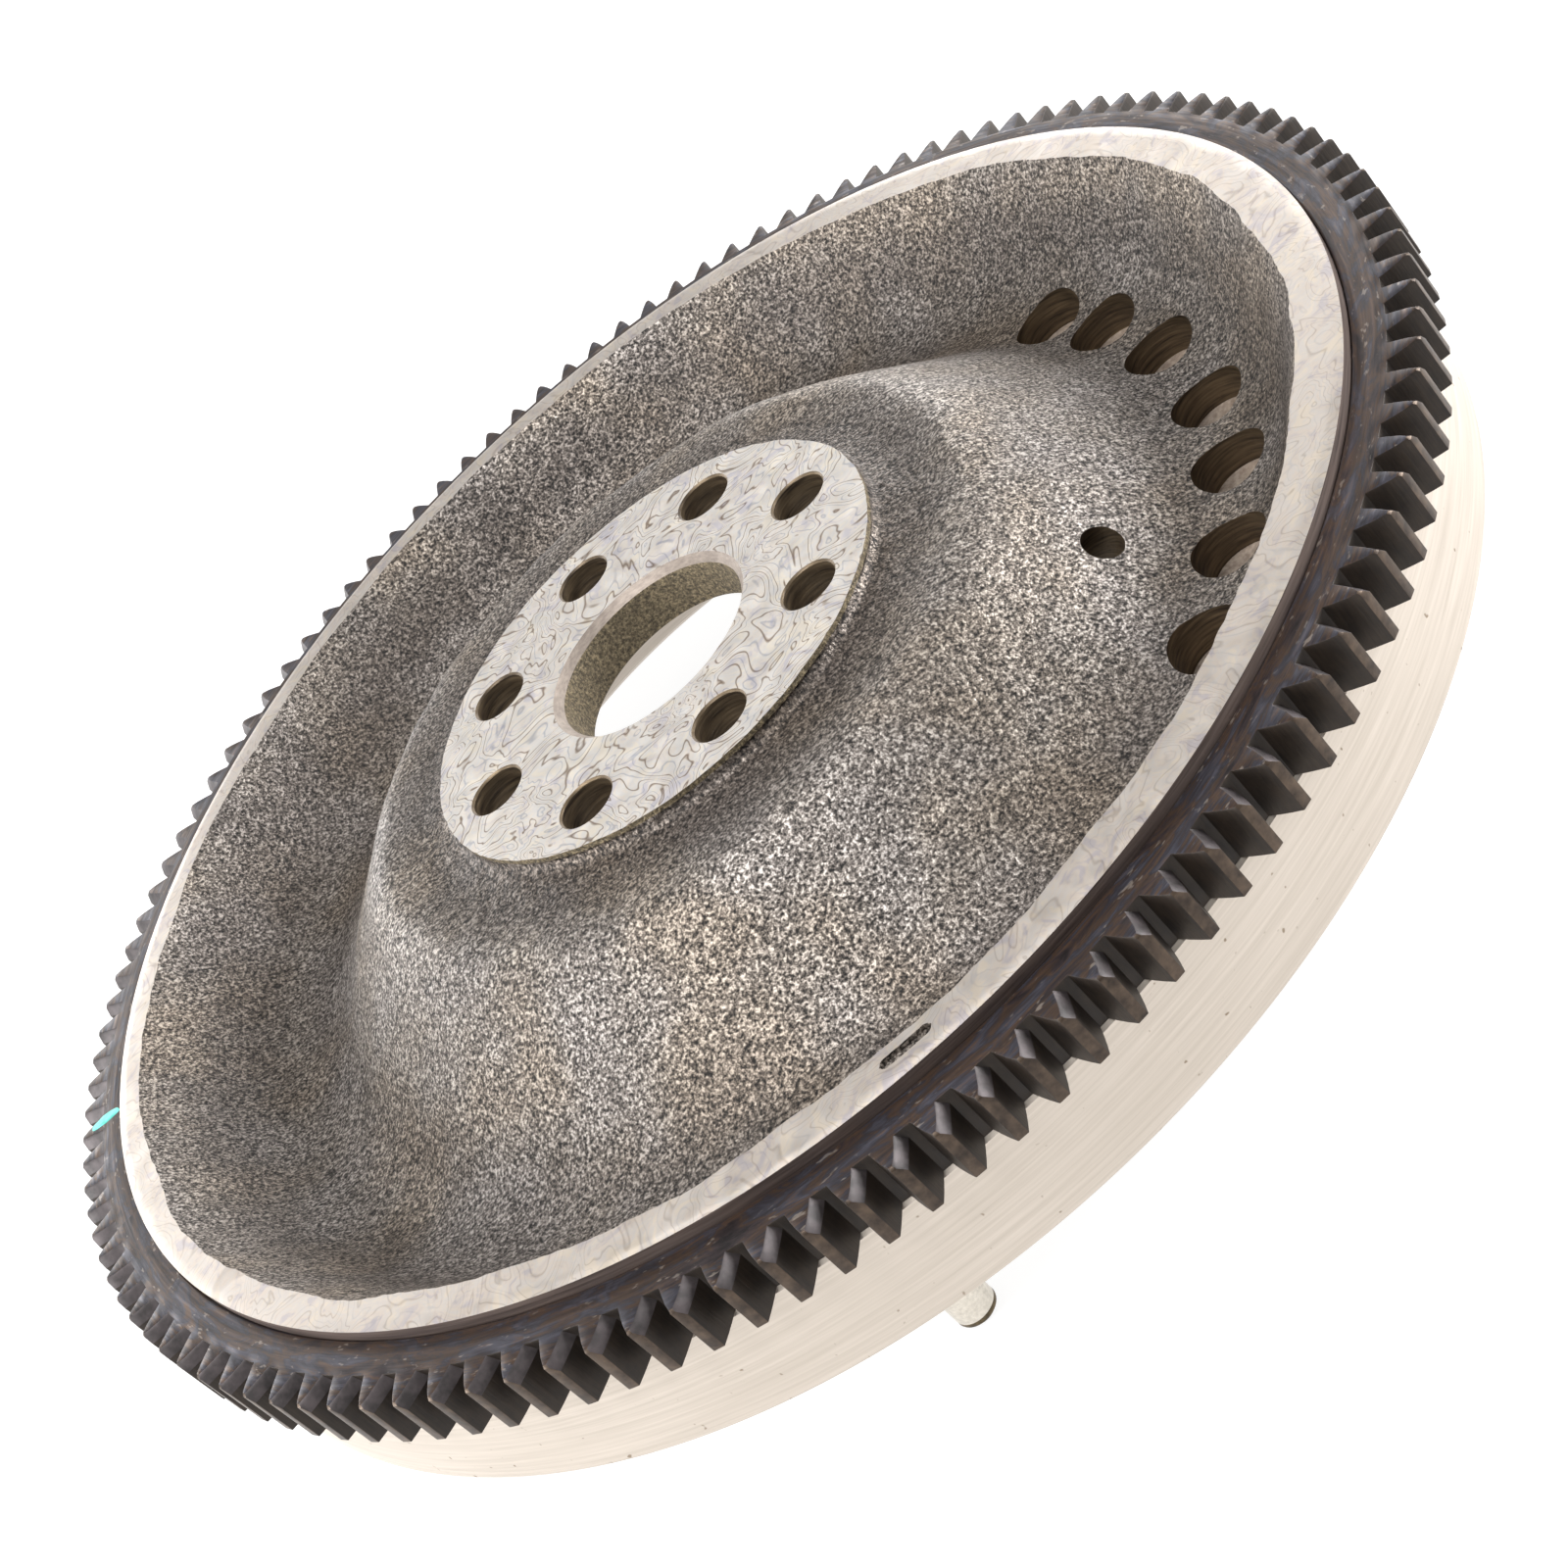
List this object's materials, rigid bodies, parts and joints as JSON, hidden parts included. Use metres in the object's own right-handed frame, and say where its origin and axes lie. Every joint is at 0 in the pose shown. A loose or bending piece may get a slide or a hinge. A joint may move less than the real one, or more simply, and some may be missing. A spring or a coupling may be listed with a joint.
{
  "type": "engine flywheel",
  "caption": "Turned cast-iron clutch flywheel with a dished web, drilled hub flange, shrunk-on starter ring gear and clutch-cover dowel pins.",
  "frame": {"origin": "centre of the crank seating face, on the spin axis", "axes": "+Z along the spin axis, out of the crank seating face towards the engine; the clutch side faces -Z; +X is an arbitrary radial direction, 0.2 degrees from a crank bolt hole"},
  "size_m": [0.3074, 0.3074, 0.0535],
  "materials": {
    "cast_iron": "shot-blasted casting with turned faces",
    "gear_steel": "induction-hardened, heat-tinted brown",
    "pin_steel": "ground"
  },
  "bodies": {
    "root": {"flywheel_body": "cast_iron", "ring_gear": "gear_steel", "dowel_pin_1": "pin_steel", "dowel_pin_2": "pin_steel", "dowel_pin_3": "pin_steel"}
  },
  "joints": []
}
